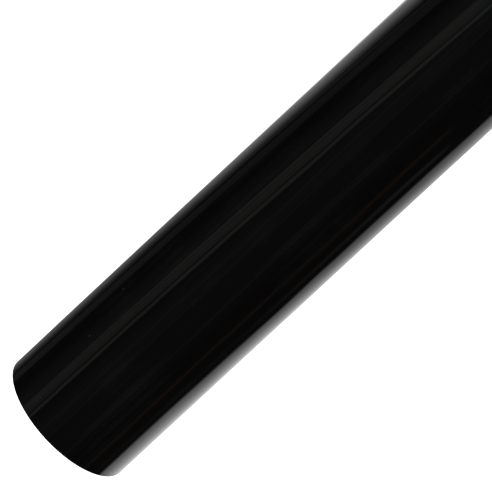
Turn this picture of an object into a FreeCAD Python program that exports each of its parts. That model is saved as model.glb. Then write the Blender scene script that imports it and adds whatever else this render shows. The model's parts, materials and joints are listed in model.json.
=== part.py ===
import FreeCAD, Part
import Sketcher
import math
import os

# Roll of sign vinyl: one web of film on one web of release liner, wound face out on a paper core.
# The roll's axis is X, +Z is up and +Y is the side where the web's free end lies.
# The origin is on the core's axis at the middle of its length.

# Driving dimensions, millimetres and degrees, with a note on each.
sizes = [
    ("web_width", 610.0, "width of film and liner, a 24 inch roll"),
    ("web_length", 9144.0, "length of web on the roll, 10 yards"),
    ("film_thickness", 0.10, "PVC film with its adhesive coat"),
    ("liner_thickness", 0.15, "siliconed release paper"),
    ("layer_gap", 0.01, "air between one layer and the next"),
    ("core_bore_radius", 38.1, "bore of a 3 inch core"),
    ("core_wall", 7.0, "wall of the core, all plies"),
    ("inner_ply", 0.6, "lining ply of the core"),
    ("outer_ply", 0.6, "outer wrap of the core"),
    ("core_overhang", 1.0, "core stands proud of the web at each end"),
    ("starter_thickness", 0.12, "double-sided tape under the first turn"),
    ("starter_length", 40.0, "length of that tape round the core"),
    ("starter_inset", 5.0, "tape stops short of each edge of the web"),
    ("tail_edge_angle", -20.0, "direction of the web's cut edge, from +Y towards +Z"),
    ("tail_length", 56.0, "stretch of web that lifts, along the surface"),
    ("flap_length", 36.0, "stretch of film that peels, along the surface"),
    ("split_gap", 0.30, "gap where a flexible layer is split between bodies"),
    ("outer_turn_lap", 12.0, "outer turn of film starts this far under the tail's edge"),
    ("short_arc", 6.0, "longest arc of a loose stretch, in degrees of the roll"),
    ("tab_width", 25.0, "closing tab, along the roll"),
    ("tab_grip", 18.0, "closing tab's hold on the film flap"),
    ("tab_reach", 20.0, "closing tab's hold on the roll past the edge"),
    ("tab_thickness", 0.13, "masking tape"),
    ("tab_ramp", 1.2, "length of the step from the film's edge down to the roll"),
    ("tab_spacing", 225.0, "from one closing tab to the next"),
]

doc = FreeCAD.newDocument("sign_vinyl_roll")
sheet = doc.addObject("Spreadsheet::Sheet", "Sizes")
for row, (alias, value, note) in enumerate(sizes, start=1):
    sheet.set(f"A{row}", alias)
    sheet.set(f"B{row}", str(value))
    sheet.set(f"C{row}", note)
    sheet.setAlias(f"B{row}", alias)
doc.recompute()


def size(alias):
    """A driving dimension as the sheet holds it."""
    return float(sheet.get(alias))


# What the web needs, worked out from the driving dimensions.
pitch = size("film_thickness") + size("liner_thickness") + 2 * size("layer_gap")
core_radius = size("core_bore_radius") + size("core_wall")
start_radius = core_radius + size("starter_thickness") + size("layer_gap")
mean_start = start_radius + pitch / 2
turns = (math.sqrt(mean_start**2 + pitch * size("web_length") / math.pi) - mean_start) / pitch
roll_radius = start_radius + turns * pitch
start_angle = math.radians(size("tail_edge_angle")) + 2 * math.pi * turns
short_arc = size("short_arc") / 360
half_turn = 0.5
least_arc = 0.001  # mm, an arc shorter than this is left out

# Height of each face of the layers above the start of their own turn.
liner_inside = 0.0
liner_outside = liner_inside + size("liner_thickness")
film_inside = liner_outside + size("layer_gap")
film_outside = film_inside + size("film_thickness")
tab_inside = film_outside + size("layer_gap")
tab_outside = tab_inside + size("tab_thickness")


def turns_of(length):
    """Share of a turn that a length along the roll's surface takes."""
    return length / (2 * math.pi * roll_radius)


def web_point(height, turn, half=None):
    """Point of the spiral at a turn, on the half-turn arc that holds it.

    The spiral is made of half-turn arcs. Their radii grow by half the pitch and their centres
    alternate between the axis and half a pitch from it, so the arcs join without a corner.
    """
    if half is None:
        half = math.floor(2 * turn)
    offset = pitch / 2 * (half % 2)
    radius = start_radius + height + half * pitch / 2
    angle = start_angle - 2 * math.pi * turn
    y = offset * math.cos(start_angle) + radius * math.cos(angle)
    z = offset * math.sin(start_angle) + radius * math.sin(angle)
    return FreeCAD.Vector(0, y, z)


def arcs_through(point, first, last, longest):
    """Equal arcs along a curve between two of its turns, none longer than the share stated."""
    count = math.ceil((last - first) / longest)
    step = (last - first) / count
    arcs = []
    for number in range(count):
        start = first + number * step
        knots = [point(start + share * step) for share in (0, 0.5, 1)]
        arcs.append(Part.Arc(*knots).toShape())
    return arcs


def web_arcs(height, first, last, longest=half_turn):
    """Arcs of the spiral from one turn to another, a constant height above the web's start."""
    arcs = []
    for half in range(math.floor(2 * first), math.ceil(2 * last)):
        begin = max(first, half / 2)
        end = min(last, (half + 1) / 2)
        if end - begin > turns_of(least_arc):
            arcs += arcs_through(lambda turn: web_point(height, turn, half), begin, end, longest)
    return arcs


def core_point(radius, turn):
    """Point round the core at a turn of the web."""
    angle = start_angle - 2 * math.pi * turn
    return FreeCAD.Vector(0, radius * math.cos(angle), radius * math.sin(angle))


def ends_of(arcs):
    """First and last point of a chain of arcs."""
    return arcs[0].Vertexes[0].Point, arcs[-1].Vertexes[-1].Point


def strip(lower, upper, width):
    """Closed strip between two chains of edges, from X = 0 to the width stated."""
    low_start, low_end = ends_of(lower)
    up_start, up_end = ends_of(upper)
    cuts = [Part.makeLine(low_end, up_end), Part.makeLine(low_start, up_start)]
    outline = Part.Wire(Part.__sortEdges__(lower + upper + cuts))
    return Part.Face(outline).extrude(FreeCAD.Vector(width, 0, 0))


def add_strip(label, lower, upper, width, centre=0.0):
    """Sub-part that follows the spiral, made from the sheet's sizes and centred along the roll."""
    feature = doc.addObject("Part::Feature", label)
    feature.Label = label
    feature.Shape = strip(lower, upper, width)
    feature.Placement = FreeCAD.Placement(
        FreeCAD.Vector(centre - width / 2, 0, 0), FreeCAD.Rotation()
    )
    return feature


def add_layer(label, inside, outside, first, last, longest=half_turn):
    """Stretch of one web between two turns, across the whole width."""
    lower = web_arcs(inside, first, last, longest)
    upper = web_arcs(outside, first, last, longest)
    return add_strip(label, lower, upper, size("web_width"))


def origin_plane(body, role):
    """One of a body's own origin planes."""
    return next(f for f in body.Origin.OriginFeatures if f.Role == role)


def add_tube(label, inner, outer, length):
    """Tube along X, centred on the origin, with radii and length bound to the sheet."""
    body = doc.addObject("PartDesign::Body", label)
    body.Label = label
    sketch = body.newObject("Sketcher::SketchObject", label + "_section")
    sketch.AttachmentSupport = [(origin_plane(body, "YZ_Plane"), "")]
    sketch.MapMode = "FlatFace"
    axis = FreeCAD.Vector(0, 0, 1)
    for name, radius, guess in (("inner", inner, 1.0), ("outer", outer, 2.0)):
        index = sketch.addGeometry(Part.Circle(FreeCAD.Vector(0, 0, 0), axis, guess), False)
        sketch.addConstraint(Sketcher.Constraint("Coincident", index, 3, -1, 1))
        datum = sketch.addConstraint(Sketcher.Constraint("Radius", index, guess))
        sketch.renameConstraint(datum, name)
        sketch.setExpression(f"Constraints.{name}", radius)
    pad = body.newObject("PartDesign::Pad", label + "_wall")
    pad.Profile = sketch
    pad.Midplane = True
    pad.setExpression("Length", length)
    body.Tip = pad
    return body


def add_core():
    """Paperboard tube: lining ply, body plies and outer wrap, glued face to face."""
    bore = "Sizes.core_bore_radius"
    lining = bore + " + Sizes.inner_ply"
    outside = bore + " + Sizes.core_wall"
    wrap = outside + " - Sizes.outer_ply"
    length = "Sizes.web_width + 2 * Sizes.core_overhang"
    return [
        add_tube("core_inner_ply", bore, lining, length),
        add_tube("core_body_plies", lining, wrap, length),
        add_tube("core_outer_ply", wrap, outside, length),
    ]


def add_starter_tape():
    """Double-sided tape on the core, from the web's start on the way that the web is wound."""
    last = size("starter_length") / (2 * math.pi * core_radius)
    sides = []
    for radius in (core_radius, core_radius + size("starter_thickness")):
        sides.append(arcs_through(lambda turn: core_point(radius, turn), 0, last, short_arc))
    width = size("web_width") - 2 * size("starter_inset")
    return add_strip("starter_tape", *sides, width)


def add_web():
    """Film and liner: the wound turns, the film's outer turn, the tail and the flap of film."""
    last = turns
    root = last - turns_of(size("tail_length"))
    peel = last - turns_of(size("flap_length"))
    gap = turns_of(size("split_gap"))
    outer = last - 1 - turns_of(size("outer_turn_lap"))
    liner = (liner_inside, liner_outside)
    film = (film_inside, film_outside)
    return [
        add_layer("wound_liner", *liner, 0, root - gap),
        add_layer("wound_film", *film, 0, outer),
        add_layer("film_outer_turn", *film, outer, root - gap),
        add_layer("liner_tail", *liner, root, last, short_arc),
        add_layer("film_lead", *film, root, peel - gap, short_arc),
        add_layer("film_flap", *film, peel, last, short_arc),
    ]


def tab_side(height, first, step, last):
    """One side of a closing tab: along the film, down its cut edge and along the turn beneath."""
    upper = web_arcs(height, first, step, short_arc)
    foot = step + turns_of(size("tab_ramp"))
    lower = web_arcs(height - pitch, foot, last, short_arc)
    ramp = Part.makeLine(ends_of(upper)[1], ends_of(lower)[0])
    return upper + [ramp] + lower


def add_closing_tabs():
    """Pieces of masking tape across the web's cut edge, one in the middle and one each side."""
    first = turns - turns_of(size("tab_grip"))
    step = turns + turns_of(2 * size("layer_gap"))
    last = turns + turns_of(size("tab_reach"))
    under = tab_side(tab_inside, first, step, last)
    over = tab_side(tab_outside, first, step, last)
    tabs = []
    for number, place in enumerate((-1, 0, 1), start=1):
        centre = place * size("tab_spacing")
        tabs.append(add_strip(f"closing_tab_{number}", under, over, size("tab_width"), centre))
    return tabs


def check(objects):
    """Stop if anything in the document failed or a sub-part is not a valid solid."""
    for item in doc.Objects:
        if "Invalid" in item.State or "Error" in item.State:
            raise RuntimeError(f"{item.Label} did not recompute: {item.State}")
    for item in objects:
        if item.Shape.isNull() or not item.Shape.isValid() or not item.Shape.Solids:
            raise RuntimeError(f"{item.Label} is not a valid solid")


def main():
    """Build every sub-part, check it and write it to parts/."""
    objects = add_core() + [add_starter_tape()] + add_web() + add_closing_tabs()
    doc.recompute()
    check(objects)
    os.makedirs("parts", exist_ok=True)
    for item in objects:
        item.Shape.exportStep(f"parts/{item.Label}.step")
        print(item.Label, round(item.Shape.Volume, 1), "mm3")
    print("turns", round(turns, 3), "roll radius", round(roll_radius, 3))


main()
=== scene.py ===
import json
import math

import bmesh
import bpy
from mathutils import Matrix, Vector


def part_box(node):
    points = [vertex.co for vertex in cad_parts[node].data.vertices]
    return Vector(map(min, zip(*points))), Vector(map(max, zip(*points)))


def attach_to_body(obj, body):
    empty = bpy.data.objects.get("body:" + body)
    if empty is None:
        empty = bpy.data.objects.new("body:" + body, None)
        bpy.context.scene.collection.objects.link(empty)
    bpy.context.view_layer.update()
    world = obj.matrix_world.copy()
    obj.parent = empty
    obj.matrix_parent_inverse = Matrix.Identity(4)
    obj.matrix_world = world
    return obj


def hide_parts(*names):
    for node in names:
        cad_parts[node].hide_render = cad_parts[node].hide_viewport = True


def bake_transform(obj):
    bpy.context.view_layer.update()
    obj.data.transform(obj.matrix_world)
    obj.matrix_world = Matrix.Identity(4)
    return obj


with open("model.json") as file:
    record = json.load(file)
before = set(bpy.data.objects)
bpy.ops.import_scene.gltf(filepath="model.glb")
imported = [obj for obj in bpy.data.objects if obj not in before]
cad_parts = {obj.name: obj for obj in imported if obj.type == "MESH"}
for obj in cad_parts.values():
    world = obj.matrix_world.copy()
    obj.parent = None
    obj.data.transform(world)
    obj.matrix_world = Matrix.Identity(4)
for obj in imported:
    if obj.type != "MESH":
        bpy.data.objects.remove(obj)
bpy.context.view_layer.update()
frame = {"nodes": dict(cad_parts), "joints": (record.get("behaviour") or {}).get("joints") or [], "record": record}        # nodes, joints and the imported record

joints = {joint["name"]: joint for joint in frame["joints"]}
mounts = {mount["name"]: mount for mount in frame["record"]["mounts"]}

# The web is film on liner, wound outwards from the core, and one turn of it is one pitch thick.
# Lengths are in metres and places along the web in turns, counted from its start on the core.
web = {
    "width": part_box("film_outer_turn")[1].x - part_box("film_outer_turn")[0].x,
    "length": 9.144,
    "filmThickness": 0.00010,
    "linerThickness": 0.00015,
    "layerGap": 0.00001,
    "starterThickness": 0.00012,
    "edgeAngle": math.radians(-20),
    "outerTurnLap": 0.012,     # the outer turn starts this far under the cut edge
}
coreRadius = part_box("core_outer_ply")[1].y
boreRadius = mounts["core_bore"]["dims"]["r_mm"] / 1000
coreLength = mounts["core_bore"]["dims"]["length_mm"] / 1000
pitch = web["filmThickness"] + web["linerThickness"] + 2 * web["layerGap"]
innerRadius = coreRadius + web["starterThickness"] + web["layerGap"]
meanStart = innerRadius + pitch / 2
lastTurn = (math.sqrt(meanStart ** 2 + pitch * web["length"] / math.pi) - meanStart) / pitch

# The spiral's radius grows steadily from here, about a centre a quarter of a pitch off the axis
startAngle = web["edgeAngle"] + 2 * math.pi * lastTurn
startRadius = innerRadius - pitch / 4
spiralCentre = Vector((0, math.cos(startAngle), math.sin(startAngle))) * pitch / 4
rollRadius = startRadius + pitch * lastTurn
linerHeight = 0.0
filmHeight = web["linerThickness"] + web["layerGap"]
filmTop = filmHeight + web["filmThickness"]


def turnsOf(length):
    return length / (2 * math.pi * rollRadius)


def turnAt(jointName):
    # The turn of the web at a hinge line, counted back from the cut edge
    y, z = joints[jointName]["pos_m"][1:]
    return lastTurn - ((math.atan2(z, y) - web["edgeAngle"]) % (2 * math.pi)) / (2 * math.pi)


def webPoint(height, turn, x):
    angle = startAngle - 2 * math.pi * turn
    radius = startRadius + pitch * turn + height
    return spiralCentre + Vector((x, radius * math.cos(angle), radius * math.sin(angle)))


rootTurn = turnAt("tail_lift")
peelTurn = turnAt("film_peel")
tabTurn = turnAt("tab_1_peel")
outerStart = lastTurn - 1 - turnsOf(web["outerTurnLap"])


def addNode(tree, kind, sockets=None, **settings):
    node = tree.nodes.new(kind)
    for name, value in settings.items():
        setattr(node, name, value)
    for name, value in (sockets or {}).items():
        if isinstance(value, bpy.types.NodeSocket):
            tree.links.new(value, node.inputs[name])
        else:
            node.inputs[name].default_value = value
    return node


def maths(tree, operation, *values):
    # One math node per operation; returns its output socket
    sockets = dict(enumerate(values))
    return addNode(tree, "ShaderNodeMath", sockets, operation=operation).outputs[0]


def addObject(name, data):
    thing = bpy.data.objects.new(name, data)
    bpy.context.scene.collection.objects.link(thing)
    return thing


def newMaterial(name):
    material = bpy.data.materials.new(name)
    material.use_nodes = True
    tree = material.node_tree
    tree.nodes.clear()
    surface = addNode(tree, "ShaderNodeBsdfPrincipled")
    output = addNode(tree, "ShaderNodeOutputMaterial")
    tree.links.new(surface.outputs[0], output.inputs["Surface"])
    return material, tree, surface


def dress(tree, surface, colour, roughness, normal):
    tree.links.new(colour, surface.inputs["Base Color"])
    tree.links.new(roughness, surface.inputs["Roughness"])
    tree.links.new(normal, surface.inputs["Normal"])


def objectCoordinates(tree, scale=(1, 1, 1)):
    coords = addNode(tree, "ShaderNodeTexCoord").outputs["Object"]
    return addNode(tree, "ShaderNodeMapping", {"Vector": coords, "Scale": scale}).outputs[0]


def noise(tree, vector, scale, detail, roughness=0.5, distortion=0.0):
    sockets = {"Vector": vector, "Scale": scale, "Detail": detail}
    sockets.update({"Roughness": roughness, "Distortion": distortion})
    return addNode(tree, "ShaderNodeTexNoise", sockets).outputs[0]


def rampOf(tree, factor, low, high, tones):
    # From the first tone to the second as the factor goes from low to high
    ramp = addNode(tree, "ShaderNodeValToRGB", {0: factor})
    for element, spot, tone in zip(ramp.color_ramp.elements, (low, high), tones):
        element.position = spot
        element.color = (*tone, 1)
    return ramp.outputs[0]


def mapRange(tree, value, fromLow, fromHigh, toLow, toHigh, smooth=False):
    kind = "SMOOTHSTEP" if smooth else "LINEAR"
    sockets = {"Value": value, "From Min": fromLow, "From Max": fromHigh}
    sockets.update({"To Min": toLow, "To Max": toHigh})
    node = addNode(tree, "ShaderNodeMapRange", sockets, interpolation_type=kind)
    return node.outputs[0]


def bump(tree, height, strength, distance, normal=None):
    sockets = {"Height": height, "Strength": strength, "Distance": distance}
    if normal is not None:
        sockets["Normal"] = normal
    return addNode(tree, "ShaderNodeBump", sockets).outputs[0]


def mixColours(tree, factor, first, second):
    # A colour is a socket or three numbers; a colour mix has them as its inputs 6 and 7
    first, second = ((*colour, 1) if isinstance(colour, tuple) else colour for colour in (first, second))
    sockets = {0: factor, 6: first, 7: second}
    return addNode(tree, "ShaderNodeMix", sockets, data_type="RGBA").outputs[2]


filmFinish = {
    "black": (0.0013, 0.0013, 0.0014),
    "scuff": (0.006, 0.006, 0.006),
    "dust": (0.32, 0.32, 0.30),
    "roughness": (0.025, 0.055),
    "ior": 1.5,
    "adhesive": (0.045, 0.045, 0.048),
    "adhesiveRoughness": 0.34,
    "lineScale": (1.2, 260, 260),        # along the roll and across it
    "lineDepth": 0.00006,
    "waveScale": (2.5, 45, 45),
    "waveDepth": 0.0006,
    "peelScale": 1800.0,
    "peelDepth": 0.00001,
    "cloudScale": 22.0,
    "scuffLevels": (0.27, 0.42),
    "scuffAmount": 0.35,
    "speckScale": 70.0,
    "speckEdge": (0.018, 0.028),         # a speck's radius, in cells of its pattern
    "patchScale": 9.0,
    "patchLevels": (0.54, 0.60),         # specks lie only where a broad noise is above this
}


def makeFilmMaterial():
    # Gloss black: fine lines along the roll, a faint orange peel, a few specks of dust, and a dull
    # grey coat of adhesive on the side that faces the liner
    material, tree, surface = newMaterial("glossBlackFilm")
    coords = objectCoordinates(tree)
    lines = noise(tree, objectCoordinates(tree, filmFinish["lineScale"]), 1.0, 3.0)
    waves = noise(tree, objectCoordinates(tree, filmFinish["waveScale"]), 1.0, 2.0)
    peel = noise(tree, coords, filmFinish["peelScale"], 1.0)
    cloud = noise(tree, coords, filmFinish["cloudScale"], 4.0)
    sockets = {"Vector": coords, "Scale": filmFinish["speckScale"]}
    specks = addNode(tree, "ShaderNodeTexVoronoi", sockets).outputs["Distance"]
    speck = mapRange(tree, specks, *filmFinish["speckEdge"], 1.0, 0.0)
    patches = noise(tree, coords, filmFinish["patchScale"], 1.0)
    patches = mapRange(tree, patches, *filmFinish["patchLevels"], 0.0, 1.0)
    dust = maths(tree, "MULTIPLY", speck, patches)
    worn = maths(tree, "MULTIPLY", lines, cloud)
    scuffs = mapRange(tree, worn, *filmFinish["scuffLevels"], 0.0, filmFinish["scuffAmount"])
    colour = mixColours(tree, scuffs, filmFinish["black"], filmFinish["scuff"])
    colour = mixColours(tree, dust, colour, filmFinish["dust"])
    roughness = mapRange(tree, cloud, 0.3, 0.7, *filmFinish["roughness"])
    roughness = maths(tree, "ADD", roughness, maths(tree, "MULTIPLY", dust, 0.5))
    tacky = addNode(tree, "ShaderNodeAttribute", attribute_name="adhesive").outputs["Fac"]
    colour = mixColours(tree, tacky, colour, filmFinish["adhesive"])
    roughness = mapRange(tree, tacky, 0.0, 1.0, roughness, filmFinish["adhesiveRoughness"])
    normal = bump(tree, waves, 0.12, filmFinish["waveDepth"])
    normal = bump(tree, lines, 0.10, filmFinish["lineDepth"], normal)
    normal = bump(tree, peel, 0.05, filmFinish["peelDepth"], normal)
    dress(tree, surface, colour, roughness, normal)
    surface.inputs["IOR"].default_value = filmFinish["ior"]
    return material


linerFinish = {
    "tones": ((0.58, 0.56, 0.50), (0.72, 0.70, 0.64)),
    "roughness": (0.38, 0.55),
    "fibreScale": (400, 1200, 1200),
    "fibreDepth": 0.00003,
    "mottleScale": 60.0,
}


def makeLinerMaterial():
    # Clay-coated release paper: warm white, faint fibre mottle, a soft silicone sheen
    material, tree, surface = newMaterial("siliconedLiner")
    coords = objectCoordinates(tree)
    fibres = noise(tree, objectCoordinates(tree, linerFinish["fibreScale"]), 1.0, 4.0)
    mottle = noise(tree, coords, linerFinish["mottleScale"], 5.0)
    colour = rampOf(tree, mottle, 0.3, 0.7, linerFinish["tones"])
    roughness = mapRange(tree, fibres, 0.3, 0.7, *linerFinish["roughness"])
    dress(tree, surface, colour, roughness, bump(tree, fibres, 0.25, linerFinish["fibreDepth"]))
    return material


coreFinish = {
    "lining": ((0.27, 0.22, 0.16), (0.41, 0.345, 0.26)),
    "board": ((0.17, 0.135, 0.095), (0.32, 0.26, 0.19)),
    "wrap": ((0.26, 0.175, 0.10), (0.38, 0.27, 0.165)),
    "bodyPlies": 9,
    "roughness": (0.72, 0.92),
    "shine": 0.25,
    "fibreScale": (160, 900, 900),
    "fibreDepth": 0.00006,
    "mottleScale": 45.0,
    "fleckScale": 620.0,
    "fleckEdge": (0.08, 0.16),
    "glueEdge": (0.40, 0.49),            # in plies, from the middle of one
}


def makePaperMaterial(name, tones, plyCount=0):
    # Recycled paperboard: long fibres, dark and light flecks, and glue lines between the plies
    material, tree, surface = newMaterial(name)
    coords = objectCoordinates(tree)
    stretched = objectCoordinates(tree, coreFinish["fibreScale"])
    fibres = noise(tree, stretched, 1.0, 5.0, 0.65, 0.6)
    mottle = noise(tree, coords, coreFinish["mottleScale"], 6.0, 0.6)
    sockets = {"Vector": coords, "Scale": coreFinish["fleckScale"]}
    flecks = addNode(tree, "ShaderNodeTexVoronoi", sockets).outputs["Distance"]
    fleck = mapRange(tree, flecks, *coreFinish["fleckEdge"], 0.55, 0.0)
    blend = maths(tree, "ADD", maths(tree, "MULTIPLY", fibres, 0.6), maths(tree, "MULTIPLY", mottle, 0.4))
    colour = rampOf(tree, blend, 0.32, 0.66, tones)
    colour = mixColours(tree, fleck, colour, tuple(0.45 * part for part in tones[0]))
    if plyCount:
        parts = addNode(tree, "ShaderNodeSeparateXYZ", {0: coords})
        squares = [maths(tree, "POWER", parts.outputs[axis], 2.0) for axis in (1, 2)]
        radius = maths(tree, "SQRT", maths(tree, "ADD", *squares))
        plies = mapRange(tree, radius, boreRadius, coreRadius, 0.0, plyCount)
        line = maths(tree, "ABSOLUTE", maths(tree, "SUBTRACT", maths(tree, "FRACT", plies), 0.5))
        glue = mapRange(tree, line, *coreFinish["glueEdge"], 0.0, 0.6)
        colour = mixColours(tree, glue, colour, tuple(0.4 * part for part in tones[0]))
    roughness = mapRange(tree, mottle, 0.3, 0.7, *coreFinish["roughness"])
    dress(tree, surface, colour, roughness, bump(tree, fibres, 0.35, coreFinish["fibreDepth"]))
    surface.inputs["Specular IOR Level"].default_value = coreFinish["shine"]
    return material


tabFinish = {
    "tones": ((0.66, 0.53, 0.30), (0.80, 0.69, 0.45)),
    "roughness": (0.50, 0.68),
    "crepeScale": (260, 1900, 1900),
    "crepeDepth": 0.00009,
    "mottleScale": 130.0,
}


def makeTabMaterial():
    # Masking tape: creped paper, the wrinkles running across the strip
    material, tree, surface = newMaterial("maskingTape")
    coords = objectCoordinates(tree)
    crepe = noise(tree, objectCoordinates(tree, tabFinish["crepeScale"]), 1.0, 3.0, 0.6, 1.2)
    mottle = noise(tree, coords, tabFinish["mottleScale"], 3.0)
    colour = rampOf(tree, crepe, 0.3, 0.7, tabFinish["tones"])
    roughness = mapRange(tree, mottle, 0.3, 0.7, *tabFinish["roughness"])
    dress(tree, surface, colour, roughness, bump(tree, crepe, 0.6, tabFinish["crepeDepth"]))
    return material


starterFinish = {
    "tones": ((0.62, 0.57, 0.44), (0.76, 0.72, 0.60)),
    "roughness": (0.22, 0.42),
    "blotchScale": (90, 220, 220),
    "blotchDepth": 0.00005,
}


def makeStarterMaterial():
    # Double-sided tape: a translucent film with a slightly uneven adhesive
    material, tree, surface = newMaterial("starterAdhesive")
    blotch = noise(tree, objectCoordinates(tree, starterFinish["blotchScale"]), 1.0, 4.0)
    colour = rampOf(tree, blotch, 0.3, 0.7, starterFinish["tones"])
    roughness = mapRange(tree, blotch, 0.3, 0.7, *starterFinish["roughness"])
    dress(tree, surface, colour, roughness, bump(tree, blotch, 0.3, starterFinish["blotchDepth"]))
    return material


filmMaterial = makeFilmMaterial()
linerMaterial = makeLinerMaterial()
liningMaterial = makePaperMaterial("coreLiningPaper", coreFinish["lining"])
boardMaterial = makePaperMaterial("coreBoard", coreFinish["board"], coreFinish["bodyPlies"] + 2)
wrapMaterial = makePaperMaterial("coreKraftWrap", coreFinish["wrap"])
tabMaterial = makeTabMaterial()
starterMaterial = makeStarterMaterial()
print("materials made")


def newGeometryTree(name, inputs):
    tree = bpy.data.node_groups.new(name, "GeometryNodeTree")
    for label, kind in inputs:
        tree.interface.new_socket(label, in_out="INPUT", socket_type="NodeSocket" + kind)
    tree.interface.new_socket("Geometry", in_out="OUTPUT", socket_type="NodeSocketGeometry")
    source = addNode(tree, "NodeGroupInput").outputs
    return tree, source


def addSlab(tree, columns, rows):
    # A closed slab of cells, one unit each way about the origin, and where each of its points is
    sockets = {"Size": (1, 1, 1), "Vertices X": columns, "Vertices Y": rows, "Vertices Z": 2}
    slab = addNode(tree, "GeometryNodeMeshCube", sockets).outputs["Mesh"]
    place = addNode(tree, "GeometryNodeInputPosition").outputs[0]
    return slab, addNode(tree, "ShaderNodeSeparateXYZ", {0: place}).outputs


def finishGeometryTree(tree, slab, x, y, z, material):
    # Moves the slab's points to their places round the roll
    bent = addNode(tree, "ShaderNodeCombineXYZ", {0: x, 1: y, 2: z}).outputs[0]
    wound = addNode(tree, "GeometryNodeSetPosition", {"Geometry": slab, "Position": bent}).outputs[0]
    realized = addNode(tree, "GeometryNodeRealizeInstances", {"Geometry": wound}).outputs[0]
    painted = addNode(tree, "GeometryNodeSetMaterial", {"Geometry": realized, "Material": material})
    output = addNode(tree, "NodeGroupOutput")
    tree.links.new(painted.outputs[0], output.inputs[0])


ripple = {
    "height": 0.00022,         # the outer turn is a little slack and rises in soft waves
    "rise": (outerStart + 0.13, outerStart + 0.24),      # turns over which it grows
    "fall": (rootTurn - 0.12, rootTurn - 0.02),          # and dies away
    "scale": 1.35,
    "scaleAlong": 7.0,
    "levels": (0.35, 0.75),
    "edgePower": 8.0,
}
winding = {
    "segmentsPerTurn": 144,
    "outerSegmentsPerTurn": 288,
    "outerRows": 90,
    "tailRows": 12,
    "edgeWander": 0.0006,      # the web's edges stray sideways within this
    "wanderScale": 0.9,
}


def rippleOf(tree, turn, across, x, cosine, sine):
    # How much of the ripple shows: none at the web's two edges, by the lap and by the tail
    along = maths(tree, "MULTIPLY", x, ripple["scaleAlong"])
    spot = addNode(tree, "ShaderNodeCombineXYZ", {0: along, 1: cosine, 2: sine}).outputs[0]
    waves = noise(tree, spot, ripple["scale"], 2.0)
    waves = mapRange(tree, waves, *ripple["levels"], 0.0, 1.0, smooth=True)
    rising = mapRange(tree, turn, *ripple["rise"], 0.0, 1.0, smooth=True)
    falling = mapRange(tree, turn, *ripple["fall"], 1.0, 0.0, smooth=True)
    side = maths(tree, "ABSOLUTE", maths(tree, "MULTIPLY", across, 2.0))
    inside = maths(tree, "SUBTRACT", 1.0, maths(tree, "POWER", side, ripple["edgePower"]))
    return maths(tree, "MULTIPLY", maths(tree, "MULTIPLY", waves, rising),
                 maths(tree, "MULTIPLY", falling, inside))


def makeSpiralTree():
    # A slab bent round the roll: its X becomes the turn, Y the width and Z the thickness
    inputs = [("First Turn", "Float"), ("Last Turn", "Float"), ("Segments", "Int"), ("Rows", "Int")]
    inputs += [("Height", "Float"), ("Thickness", "Float"), ("Edge Wander", "Float")]
    inputs += [("Ripple", "Float"), ("Material", "Material")]
    tree, given = newGeometryTree("woundWeb", inputs)
    slab, (along, across, through) = addSlab(tree, given["Segments"], given["Rows"])
    share = maths(tree, "ADD", along, 0.5)
    span = maths(tree, "SUBTRACT", given["Last Turn"], given["First Turn"])
    turn = maths(tree, "MULTIPLY_ADD", share, span, given["First Turn"])
    angle = maths(tree, "MULTIPLY_ADD", turn, -2 * math.pi, startAngle)
    cosine = maths(tree, "COSINE", angle)
    sine = maths(tree, "SINE", angle)

    # The web's edges wander a little from turn to turn
    sockets = {"W": turn, "Scale": winding["wanderScale"], "Detail": 2.0}
    wander = addNode(tree, "ShaderNodeTexNoise", sockets, noise_dimensions="1D").outputs[0]
    wander = maths(tree, "MULTIPLY", maths(tree, "SUBTRACT", wander, 0.5), given["Edge Wander"])
    x = maths(tree, "MULTIPLY_ADD", across, web["width"], wander)

    lift = rippleOf(tree, turn, across, x, cosine, sine)
    radius = maths(tree, "MULTIPLY_ADD", turn, pitch, startRadius)
    radius = maths(tree, "ADD", radius, given["Height"])
    radius = maths(tree, "MULTIPLY_ADD", maths(tree, "ADD", through, 0.5), given["Thickness"], radius)
    radius = maths(tree, "MULTIPLY_ADD", lift, given["Ripple"], radius)
    y = maths(tree, "MULTIPLY_ADD", radius, cosine, spiralCentre.y)
    z = maths(tree, "MULTIPLY_ADD", radius, sine, spiralCentre.z)
    finishGeometryTree(tree, slab, x, y, z, given["Material"])
    return tree


def makePlyTree():
    # One ply of the core: a strip wound in a helix, whose edges meet with a narrow butt gap
    inputs = [("Radius", "Float"), ("Thickness", "Float"), ("Lead", "Float"), ("Gap", "Float")]
    inputs += [("Length", "Float"), ("Rows", "Int"), ("Segments", "Int"), ("Material", "Material")]
    tree, given = newGeometryTree("woundPly", inputs)
    slab, (along, around, through) = addSlab(tree, given["Rows"], given["Segments"])
    x = maths(tree, "MULTIPLY", along, given["Length"])
    buttAngle = maths(tree, "DIVIDE", given["Gap"], given["Radius"])
    sweep = maths(tree, "SUBTRACT", 2 * math.pi, buttAngle)
    twist = maths(tree, "MULTIPLY", maths(tree, "DIVIDE", x, given["Lead"]), 2 * math.pi)
    angle = maths(tree, "MULTIPLY_ADD", around, sweep, twist)
    outward = maths(tree, "ADD", through, 0.5)
    radius = maths(tree, "MULTIPLY_ADD", outward, given["Thickness"], given["Radius"])
    y = maths(tree, "MULTIPLY", radius, maths(tree, "COSINE", angle))
    z = maths(tree, "MULTIPLY", radius, maths(tree, "SINE", angle))
    finishGeometryTree(tree, slab, x, y, z, given["Material"])
    return tree


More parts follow.
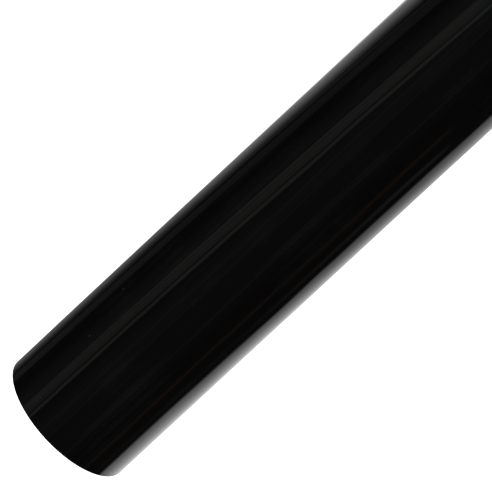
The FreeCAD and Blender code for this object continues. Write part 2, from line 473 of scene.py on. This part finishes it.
def grow(name, tree, values, material):
    # Runs a tree and keeps its result as a plain mesh
    holder = addObject(name + "Maker", bpy.data.meshes.new(name + "Maker"))
    modifier = holder.modifiers.new("grow", "NODES")
    modifier.node_group = tree
    identifiers = {item.name: item.identifier for item in tree.interface.items_tree
                   if item.in_out == "INPUT"}
    for label, value in {**values, "Material": material}.items():
        modifier[identifiers[label]] = value
    graph = bpy.context.evaluated_depsgraph_get()
    mesh = bpy.data.meshes.new_from_object(holder.evaluated_get(graph))
    bpy.data.objects.remove(holder)
    return finishMesh(name, mesh, material)


def finishMesh(name, mesh, material, sharpAngle=40):
    # Merged, facing outwards, smooth but for its real edges
    shell = bmesh.new()
    shell.from_mesh(mesh)
    bmesh.ops.remove_doubles(shell, verts=shell.verts, dist=1e-7)
    bmesh.ops.recalc_face_normals(shell, faces=shell.faces)
    shell.to_mesh(mesh)
    shell.free()
    mesh.name = name
    mesh.materials.clear()
    mesh.materials.append(material)
    mesh.polygons.foreach_set("use_smooth", [True] * len(mesh.polygons))
    mesh.set_sharp_from_angle(angle=math.radians(sharpAngle))
    return addObject(name, mesh)


def attach(piece, body, nodes):
    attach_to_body(piece, body)
    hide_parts(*nodes)


core = {
    "liningThickness": 0.0006,
    "wrapThickness": 0.0006,
    "lead": 0.118,             # a ply advances this far along the core in one turn
    "buttGap": 0.00025,
    "rows": 206,
    "segments": 128,
    "bodySegments": 192,
    "plySetback": 0.00012,     # the knife leaves some plies a little short
    "setbackPhase": (7.3, 1.1),          # step and start of the sine that makes the plies uneven
    "glueGroove": 0.00010,
    "grooveShare": 0.12,       # of a ply's thickness, at each side of it
    "sharpAngle": 30,
}


def makeCorePlies():
    tree = makePlyTree()
    shared = {"Lead": core["lead"], "Gap": core["buttGap"], "Length": coreLength,
              "Rows": core["rows"], "Segments": core["segments"]}
    lining = {"Radius": boreRadius, "Thickness": core["liningThickness"]}
    wrap = {"Radius": coreRadius - core["wrapThickness"], "Thickness": core["wrapThickness"]}
    piece = grow("coreLining", tree, {**shared, **lining}, liningMaterial)
    attach(piece, "roll", ["core_inner_ply"])
    piece = grow("coreWrap", tree, {**shared, **wrap}, wrapMaterial)
    attach(piece, "roll", ["core_outer_ply"])
    bpy.data.node_groups.remove(tree)


def coreProfile():
    # The body plies cut lengthwise: each ends at its own depth, with a groove between one and the next
    inner = boreRadius + core["liningThickness"]
    outer = coreRadius - core["wrapThickness"]
    count = coreFinish["bodyPlies"]
    ply = (outer - inner) / count
    groove = core["grooveShare"]
    step, start = core["setbackPhase"]
    ends = []
    for number in range(count):
        setback = core["plySetback"] * (0.5 + 0.5 * math.sin(step * number + start))
        near = inner + number * ply
        ends.append((near, core["glueGroove"] + setback))
        ends.append((near + groove * ply, setback))
        ends.append((near + (1 - groove) * ply, setback))
    ends.append((outer, core["glueGroove"]))
    half = coreLength / 2
    profile = [(half - depth, radius) for radius, depth in ends]
    profile += [(depth - half, radius) for radius, depth in reversed(ends)]
    return profile


def makeCoreBody():
    # The body plies' profile turned round the axis
    profile = coreProfile()
    size = len(profile)
    steps = core["bodySegments"]
    verts, faces = [], []
    for step in range(steps):
        angle = 2 * math.pi * step / steps
        verts += [(x, radius * math.cos(angle), radius * math.sin(angle)) for x, radius in profile]
        here, there = step * size, (step + 1) % steps * size
        for i in range(size):
            j = (i + 1) % size
            faces.append((here + i, here + j, there + j, there + i))
    mesh = bpy.data.meshes.new("coreBody")
    mesh.from_pydata(verts, [], faces)
    piece = finishMesh("coreBody", mesh, boardMaterial, core["sharpAngle"])
    attach(piece, "roll", ["core_body_plies"])


makeCorePlies()
makeCoreBody()
starter = frame["nodes"]["starter_tape"]
for slotOfTape in starter.material_slots:
    slotOfTape.material = starterMaterial
print("core made")


def stretchOf(first, last, perTurn, rows):
    segments = max(8, math.ceil((last - first) * perTurn)) + 1
    return {"First Turn": first, "Last Turn": last, "Segments": segments, "Rows": rows,
            "Edge Wander": winding["edgeWander"], "Ripple": ripple["height"]}


def makeWeb():
    tree = makeSpiralTree()
    film = {"Height": filmHeight, "Thickness": web["filmThickness"]}
    liner = {"Height": linerHeight, "Thickness": web["linerThickness"]}
    turns = stretchOf(0.0, outerStart, winding["segmentsPerTurn"], 2)
    piece = grow("filmTurns", tree, {**turns, **film}, filmMaterial)
    attach(piece, "roll", ["wound_film"])
    turns = stretchOf(0.0, rootTurn, winding["segmentsPerTurn"], 2)
    piece = grow("linerTurns", tree, {**turns, **liner}, linerMaterial)
    attach(piece, "roll", ["wound_liner"])
    outside = stretchOf(outerStart, lastTurn, winding["outerSegmentsPerTurn"], winding["outerRows"])
    whole = grow("filmOutside", tree, {**outside, **film}, filmMaterial)
    tail = stretchOf(rootTurn, lastTurn, winding["outerSegmentsPerTurn"], winding["tailRows"])
    linerTail = grow("linerTail", tree, {**tail, **liner}, linerMaterial)
    bpy.data.node_groups.remove(tree)
    return whole, linerTail


turnSlack = 0.0005             # how far past the layer's ends a face may seem to lie, in turns


def turnOfFace(face):
    # The turn that a face of the outer layer lies at. Its angle settles it, except in the short lap
    # where the layer passes over its own beginning, and there its radius does.
    spot = face.center - spiralCentre
    first, last = outerStart - turnSlack, lastTurn + turnSlack
    turn = (startAngle - math.atan2(spot.z, spot.y)) / (2 * math.pi)
    turn = first + (turn - first) % 1
    height = (math.hypot(spot.y, spot.z) - startRadius - filmHeight) / pitch
    return turn + 1 if turn + 1 < last and height > turn + 0.5 else turn


def faceSide(face):
    # 1 on the film's outer face, -1 on its inner face, 0 on a cut edge
    out = Vector((0, face.center.y, face.center.z)).normalized()
    return round(face.normal.dot(out))


def cornerKey(mesh, index, side):
    # A corner by its side and its place, to a micrometre
    return (side, *(round(part, 6) for part in mesh.vertices[index].co))


def sideNormals(mesh):
    # Smooth normals of the two broad faces at each corner; the cut edges have no part in them
    sums = {}
    for face in mesh.polygons:
        side = faceSide(face)
        if side:
            for index in face.vertices:
                key = cornerKey(mesh, index, side)
                sums[key] = sums.get(key, Vector()) + face.normal * face.area
    return {key: value.normalized() for key, value in sums.items()}


def cutPiece(name, source, turns, first, last, normals):
    # A copy of the web between two turns, closed at the cuts, shaded as one with its neighbours
    shell = bmesh.new()
    shell.from_mesh(source.data)
    shell.faces.ensure_lookup_table()
    outside = [face for face in shell.faces if not first <= turns[face.index] <= last]
    bmesh.ops.delete(shell, geom=outside, context="FACES")
    edges = [edge for edge in shell.edges if len(edge.link_faces) == 1]
    bmesh.ops.holes_fill(shell, edges=edges, sides=0)
    bmesh.ops.recalc_face_normals(shell, faces=shell.faces)
    mesh = bpy.data.meshes.new(name)
    shell.to_mesh(mesh)
    shell.free()
    mesh.materials.append(filmMaterial)
    mesh.polygons.foreach_set("use_smooth", [True] * len(mesh.polygons))
    custom = []
    for face in mesh.polygons:
        side = faceSide(face)
        for index in face.vertices:
            key = cornerKey(mesh, index, side)
            custom.append(normals.get(key, face.normal) if side else face.normal)
    mesh.normals_split_custom_set(custom)
    coat = mesh.attributes.new("adhesive", "FLOAT", "FACE")
    coat.data.foreach_set("value", [float(faceSide(face) == -1) for face in mesh.polygons])
    return addObject(name, mesh)


def attachBent(piece, node):
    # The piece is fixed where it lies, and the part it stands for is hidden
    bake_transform(piece)
    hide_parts(node)


def makeOuterFilm(whole, liner):
    # The outer layer in three pieces: the outer turn goes with the roll, and the lead, the flap and the
    # liner's tail are fixed where they lie
    turns = [turnOfFace(face) for face in whole.data.polygons]
    normals = sideNormals(whole.data)
    outerTurn = cutPiece("filmOuterTurn", whole, turns, 0, rootTurn, normals)
    lead = cutPiece("filmLead", whole, turns, rootTurn, peelTurn, normals)
    flap = cutPiece("filmFlap", whole, turns, peelTurn, lastTurn + 1, normals)
    bpy.data.objects.remove(whole)
    attach(outerTurn, "roll", ["film_outer_turn"])
    attachBent(lead, "film_lead")
    attachBent(liner, "liner_tail")
    attachBent(flap, "film_flap")


makeOuterFilm(*makeWeb())
print("film and liner wound")


tab = {
    "thickness": 0.00013,
    "width": 0.025,
    "ramp": 0.0016,            # the tape slopes down off the film's edge over this length
    "reach": 0.020,
    "edgeGap": 0.0001,         # between the film's edge and the start of the slope
    "tear": 0.0007,            # depth of the teeth that the dispenser leaves
    "teeth": 20,
    "toothShift": 0.37,        # in teeth, from one tab to the next
    "columnsPerTooth": 2,
    "rows": 90,
    "sharpAngle": 50,
    "bend": 0.008,
}


def tabHeight(turn):
    # On the film up to its edge, then down one pitch on to the turn beneath
    past = (turn - lastTurn - turnsOf(tab["edgeGap"])) / turnsOf(tab["ramp"])
    share = min(1.0, max(0.0, past))
    return filmTop + web["layerGap"] - pitch * share * share * (3 - 2 * share)


def tabPoints(number, rows, columns):
    # The tape's two faces, row by row from its upper end, with teeth at both torn ends
    centre = joints[f"tab_{number}_peel"]["pos_m"][0]
    lastTabTurn = lastTurn + turnsOf(tab["reach"])
    points = []
    for layer in (0, 1):
        for row in range(rows + 1):
            share = row / rows
            for column in range(columns + 1):
                place = column / tab["columnsPerTooth"] + tab["toothShift"] * number
                bite = turnsOf(tab["tear"] * abs(place % 1 - 0.5) * 2)
                first, last = tabTurn + bite, lastTabTurn - bite
                turn = first + share * (last - first)
                x = centre + tab["width"] * (column / columns - 0.5)
                points.append(webPoint(tabHeight(turn) + layer * tab["thickness"], turn, x))
    return points


def tabFaces(rows, columns):
    # Cells of both faces, then the rim that joins them
    stride = columns + 1
    sheet = (rows + 1) * stride
    faces = []
    for row in range(rows):
        for column in range(columns):
            corner = row * stride + column
            cell = (corner, corner + 1, corner + stride + 1, corner + stride)
            faces.append(cell)
            faces.append(tuple(sheet + index for index in (cell[0], cell[3], cell[2], cell[1])))
    rim = list(range(columns)) + [row * stride + columns for row in range(rows)]
    rim += [rows * stride + column for column in range(columns, 0, -1)]
    rim += [row * stride for row in range(rows, 0, -1)]
    for here, there in zip(rim, rim[1:] + rim[:1]):
        faces.append((here, there, sheet + there, sheet + here))
    return faces


def makeTab(number):
    name = f"closingTab{number}"
    rows, columns = tab["rows"], tab["teeth"] * tab["columnsPerTooth"]
    mesh = bpy.data.meshes.new(name)
    mesh.from_pydata(tabPoints(number, rows, columns), [], tabFaces(rows, columns))
    piece = finishMesh(name, mesh, tabMaterial, tab["sharpAngle"])
    attachBent(piece, f"closing_tab_{number}")


for number in (1, 2, 3):
    makeTab(number)
print("closing tabs made")


shot = {
    "lens": 43.902,            # mm
    "sensor": 36.0,            # mm
    "clip": (0.01, 50.0),
    "elevation": math.radians(90),
    "nearEnd": (-2.310, 2.231, 7.970),   # middle of the near end: right, down and ahead, in radii
    "turnInView": math.radians(42.92),
    "tilt": math.radians(-1.19),
}


def makeCamera():
    # Set by where the near end lies in the view and by how the axis runs from it
    flat = math.cos(shot["tilt"])
    axis = Vector((flat * math.cos(shot["turnInView"]), -flat * math.sin(shot["turnInView"]),
                   math.sin(shot["tilt"])))
    nearEnd = Vector(shot["nearEnd"])
    towards = (axis * nearEnd.dot(axis) - nearEnd).normalized()
    aside = axis.cross(towards)
    elevation = shot["elevation"]
    worldTowards = Vector((0, -math.cos(elevation), math.sin(elevation)))
    worldAside = Vector((1, 0, 0)).cross(worldTowards)

    def toWorld(vector):
        return (Vector((1, 0, 0)) * vector.dot(axis) + worldTowards * vector.dot(towards)
                + worldAside * vector.dot(aside))

    radius = rollRadius + filmTop
    right, up, back = (toWorld(Vector(v)) for v in ((1, 0, 0), (0, -1, 0), (0, 0, -1)))
    spot = Vector((-web["width"] / 2, 0, 0)) - toWorld(nearEnd) * radius
    data = bpy.data.cameras.new("camera")
    data.sensor_width = shot["sensor"]
    data.lens = shot["lens"]
    data.clip_start, data.clip_end = shot["clip"]
    camera = addObject("camera", data)
    turned = Matrix((right, up, back)).transposed().to_4x4()
    camera.matrix_world = Matrix.Translation(spot) @ turned
    bpy.context.scene.camera = camera


makeCamera()


studio = {
    "floorSize": 12.0,
    "floorDrop": 0.0002,
    "floorColour": (0.82, 0.82, 0.82, 1),
    "floorGlow": 0.97,         # the pale floor nearly hides its own shadows
    "backdrop": (1.0, 1.0, 1.0),
    "ambient": (0.40, 0.40, 0.41),       # what matt surfaces see all round
    "gloom": (0.014, 0.014, 0.014),      # what the gloss sees between the lamps
    "perspective": 0.65,       # how much more a slant shows further along the roll
    "fadeSpan": (-0.15, 0.25),
    "stripEnd": 0.035,         # a strip that ends dies away over this much
    "streaksPerDegree": 0.42,
    "streakLevels": (0.25, 0.75),
    "streakRange": (0.62, 1.38),
    "streakTurn": (-22.0, -14.0),        # the streaks turn from slanting to level over these degrees
}


def makeFloor():
    size = studio["floorSize"]
    level = -rollRadius - filmTop - studio["floorDrop"]
    mesh = bpy.data.meshes.new("floor")
    corners = [(-size, -size, level), (size, -size, level), (size, size, level), (-size, size, level)]
    mesh.from_pydata(corners, [], [(0, 1, 2, 3)])
    floor = addObject("floor", mesh)
    floor.visible_glossy = False       # the gloss mirrors the floor strips instead
    material = bpy.data.materials.new("paleFloor")
    material.use_nodes = True
    tree = material.node_tree
    tree.nodes.clear()
    matt = addNode(tree, "ShaderNodeBsdfDiffuse", {"Color": studio["floorColour"]}).outputs[0]
    glow = addNode(tree, "ShaderNodeEmission", {"Strength": studio["floorGlow"]}).outputs[0]
    pale = addNode(tree, "ShaderNodeAddShader", {0: matt, 1: glow}).outputs[0]
    path = addNode(tree, "ShaderNodeLightPath").outputs
    final = addNode(tree, "ShaderNodeMixShader", {0: path["Is Camera Ray"], 1: matt, 2: pale})
    output = addNode(tree, "ShaderNodeOutputMaterial")
    tree.links.new(final.outputs[0], output.inputs["Surface"])
    mesh.materials.append(material)


# Long lamps and cards that the gloss mirrors as streaks along the roll. Middle, half and soft are
# degrees round the roll from straight up, positive to the front; soft is the width of a strip's
# edge. Its slant turns it out of the roll's direction. Fade is its brightness at either end of the
# fade span and end is where it stops: both go by how far along +X the gloss looks, from -1 to 1.
overheadStrips = {
    "coolCard": {"middle": -55, "half": 1, "soft": 30, "slant": 20, "colour": (0.048, 0.049, 0.058)},
    "window": {"middle": -44.8, "half": 6.5, "soft": 1.2, "slant": 20, "colour": (0.105, 0.12, 0.085)},
    "windowFrame": {"middle": -50.6, "half": 0.4, "soft": 2, "slant": 20, "colour": (0.02, 0.02, 0.035)},
    "stripLamp": {"middle": -33.4, "half": 1.5, "soft": 1.4, "slant": 20, "colour": (0.15, 0.155, 0.15)},
    "ceiling": {"middle": 6, "half": 27, "soft": 26, "slant": 0, "colour": (0.022, 0.022, 0.022)},
    "ceilingCard": {"middle": -12, "half": 5, "soft": 13, "slant": 0, "colour": (0.018, 0.018, 0.018)},
    "thinLamp": {"middle": -12.6, "half": 0.3, "soft": 2, "slant": 0, "colour": (0.032, 0.032, 0.032)},
    "ceilingSeam": {"middle": 1, "half": 0.3, "soft": 4, "slant": 0, "colour": (0.02, 0.02, 0.02)},
    "rearLamp": {"middle": 36.5, "half": 0.3, "soft": 3, "slant": 0, "colour": (0.024, 0.024, 0.024)},
    "warmLamp": {"middle": 75, "half": 0.6, "soft": 4.4, "slant": 0, "colour": (0.075, 0.036, 0.013),
                 "end": 0.32},
}
lowStrips = {
    "farWall": {"middle": -103.5, "half": 5, "soft": 4.5, "slant": 31, "colour": (0.055, 0.055, 0.055)},
    "skirting": {"middle": -118.6, "half": 0.2, "soft": 2.4, "slant": 40, "colour": (0.1, 0.1, 0.1),
                 "fade": (0, 1)},
    "farFloor": {"middle": -160, "half": 18, "soft": 30, "slant": 25, "colour": (0.3, 0.3, 0.3),
                 "fade": (0.65, 1.6)},
    "farFloorGlow": {"middle": -180, "half": 6, "soft": 20, "slant": 25, "colour": (0.6, 0.6, 0.6),
                     "fade": (0.65, 1.6)},
    "nearFloor": {"middle": 150, "half": 36, "soft": 6.5, "slant": 8, "colour": (0.68, 0.68, 0.68),
                  "fade": (1.12, 0.68)},
    "nearFloorGlow": {"middle": 152, "half": 14, "soft": 34, "slant": 8, "colour": (0.5, 0.5, 0.5),
                      "fade": (1.12, 0.68)},
    "nearLamp": {"middle": 96, "half": 1, "soft": 4.5, "slant": 0, "colour": (0.075, 0.075, 0.075),
                 "fade": (0.2, 1.1), "end": 0.29},
}


def addStrips(tree, seen, strips, lean, x):
    # Adds each strip's light to what is seen in a direction
    ahead = maths(tree, "MULTIPLY_ADD", maths(tree, "MULTIPLY", x, x), studio["perspective"], x)
    for strip in strips.values():
        where = maths(tree, "MULTIPLY_ADD", ahead, -strip["slant"], lean)
        offset = maths(tree, "ABSOLUTE", maths(tree, "SUBTRACT", where, strip["middle"]))
        edge = strip["half"] + strip["soft"]
        amount = mapRange(tree, offset, strip["half"], edge, 1.0, 0.0, smooth=True)
        first, last = strip.get("fade", (1, 1))
        if first != last:
            fade = mapRange(tree, x, *studio["fadeSpan"], first, last)
            amount = maths(tree, "MULTIPLY", amount, fade)
        if "end" in strip:
            gone = strip["end"] + studio["stripEnd"]
            stop = mapRange(tree, x, strip["end"], gone, 1.0, 0.0, smooth=True)
            amount = maths(tree, "MULTIPLY", amount, stop)
        sockets = {0: amount, 1: strip["colour"], 2: seen}
        seen = addNode(tree, "ShaderNodeVectorMath", sockets, operation="MULTIPLY_ADD").outputs[0]
    return seen


def makeRoom():
    world = bpy.data.worlds.new("room")
    bpy.context.scene.world = world
    world.use_nodes = True
    tree = world.node_tree
    tree.nodes.clear()
    direction = addNode(tree, "ShaderNodeTexCoord").outputs["Generated"]
    x, y, z = addNode(tree, "ShaderNodeSeparateXYZ", {0: direction}).outputs
    lean = maths(tree, "ARCTAN2", maths(tree, "MULTIPLY", y, -1.0), z)
    lean = maths(tree, "MULTIPLY", lean, 180 / math.pi)
    seen = addStrips(tree, studio["gloom"], overheadStrips, lean, x)

    # Fine streaks, level over the front half and slanting with the window over the back
    slant = mapRange(tree, lean, *studio["streakTurn"], overheadStrips["window"]["slant"], 0.0)
    level = maths(tree, "SUBTRACT", lean, maths(tree, "MULTIPLY", slant, x))
    sockets = {"W": level, "Scale": studio["streaksPerDegree"], "Detail": 4.0}
    streaks = addNode(tree, "ShaderNodeTexNoise", sockets, noise_dimensions="1D").outputs[0]
    streaks = mapRange(tree, streaks, *studio["streakLevels"], *studio["streakRange"])
    seen = addNode(tree, "ShaderNodeVectorMath", {0: seen, 1: streaks}, operation="MULTIPLY").outputs[0]
    seen = addStrips(tree, seen, lowStrips, lean, x)

    path = addNode(tree, "ShaderNodeLightPath").outputs
    colour = mixColours(tree, path["Is Glossy Ray"], studio["ambient"], seen)
    colour = mixColours(tree, path["Is Camera Ray"], colour, studio["backdrop"])
    background = addNode(tree, "ShaderNodeBackground", {"Color": colour}).outputs[0]
    output = addNode(tree, "ShaderNodeOutputWorld")
    tree.links.new(background, output.inputs["Surface"])


lamps = {
    "keyLamp": {"place": (-0.9, -1.1, 1.5), "size": 1.2, "watts": 20},
    "fillLamp": {"place": (1.4, -0.8, 0.9), "size": 1.2, "watts": 7},
    "backLamp": {"place": (0.6, 1.5, 1.1), "size": 1.2, "watts": 12},
    "endLamp": {"place": (-1.5, 0.9, 0.6), "size": 1.0, "watts": 5},
}


def makeLamps():
    for name, lamp in lamps.items():
        data = bpy.data.lights.new(name, "AREA")
        data.shape = "DISK"
        data.size = lamp["size"]
        data.energy = lamp["watts"]
        light = addObject(name, data)
        light.location = lamp["place"]
        light.rotation_euler = (-Vector(lamp["place"])).to_track_quat("-Z", "Y").to_euler()
        light.visible_glossy = False


makeFloor()
makeRoom()
makeLamps()
bpy.context.scene.view_settings.view_transform = "Standard"
print("stage set")

bpy.context.view_layer.update()
